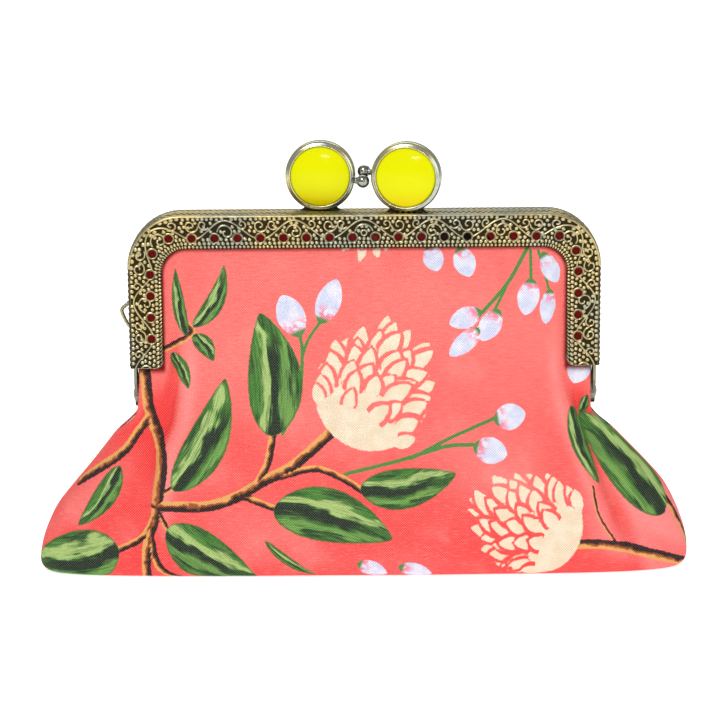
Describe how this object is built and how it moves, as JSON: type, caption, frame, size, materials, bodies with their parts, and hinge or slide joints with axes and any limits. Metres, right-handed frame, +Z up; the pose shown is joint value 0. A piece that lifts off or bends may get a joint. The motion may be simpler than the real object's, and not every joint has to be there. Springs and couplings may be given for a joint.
{
  "type": "coin purse",
  "caption": "Flat-bottomed fabric coin purse with a riveted metal frame that opens like a jaw, and a kiss clasp with round resin heads.",
  "frame": {"origin": "centre of the base, on the surface it stands on", "axes": "+X to the right seen from the front, along the hinge axis; front towards -Y; +Z up to the clasp"},
  "size_m": [0.1754, 0.0344, 0.115],
  "materials": {
    "front_frame": "embossed, antiqued",
    "back_frame": "embossed, antiqued",
    "left_hinge_rivet": "antiqued",
    "right_hinge_rivet": "antiqued",
    "left_clasp_foot": "antiqued, dark",
    "right_clasp_foot": "antiqued, dark",
    "left_clasp_cup": "antiqued",
    "right_clasp_cup": "antiqued",
    "left_cabochon": "glossy resin",
    "right_cabochon": "glossy resin",
    "left_catch_bead": "polished",
    "right_catch_bead": "polished",
    "chain_loop": "antiqued",
    "front_paper_cord": "twisted paper",
    "back_paper_cord": "twisted paper",
    "front_outer_panel": "printed cotton",
    "back_outer_panel": "printed cotton",
    "front_fleece_panel": "felted",
    "back_fleece_panel": "felted",
    "front_lining_panel": "plain cotton",
    "back_lining_panel": "plain cotton",
    "bag_outer": "printed cotton",
    "bag_fleece": "felted",
    "bag_lining": "plain cotton"
  },
  "bodies": {
    "bag": {"bag_outer": "bag_outer", "bag_fleece": "bag_fleece", "bag_lining": "bag_lining", "left_hinge_rivet": "left_hinge_rivet", "right_hinge_rivet": "right_hinge_rivet"},
    "front_half": {"front_frame": "front_frame", "front_paper_cord": "front_paper_cord", "front_outer_panel": "front_outer_panel", "front_fleece_panel": "front_fleece_panel", "front_lining_panel": "front_lining_panel", "right_clasp_foot": "right_clasp_foot", "right_clasp_cup": "right_clasp_cup", "right_cabochon": "right_cabochon", "right_catch_bead": "right_catch_bead"},
    "back_half": {"back_frame": "back_frame", "back_paper_cord": "back_paper_cord", "back_outer_panel": "back_outer_panel", "back_fleece_panel": "back_fleece_panel", "back_lining_panel": "back_lining_panel", "left_clasp_foot": "left_clasp_foot", "left_clasp_cup": "left_clasp_cup", "left_cabochon": "left_cabochon", "left_catch_bead": "left_catch_bead", "chain_loop": "chain_loop"}
  },
  "joints": [
    {"name": "front_half_turns", "type": "hinge", "parent": "bag", "child": "front_half", "pos_m": [0, 0, 0.047], "axis": [1, 0, 0], "range_deg": [0, 40]},
    {"name": "back_half_turns", "type": "hinge", "parent": "bag", "child": "back_half", "pos_m": [0, 0, 0.047], "axis": [1, 0, 0], "range_deg": [-40, 0]}
  ],
  "couplings": [
    {"joint": "back_half_turns", "follows": "front_half_turns", "ratio": -1}
  ]
}
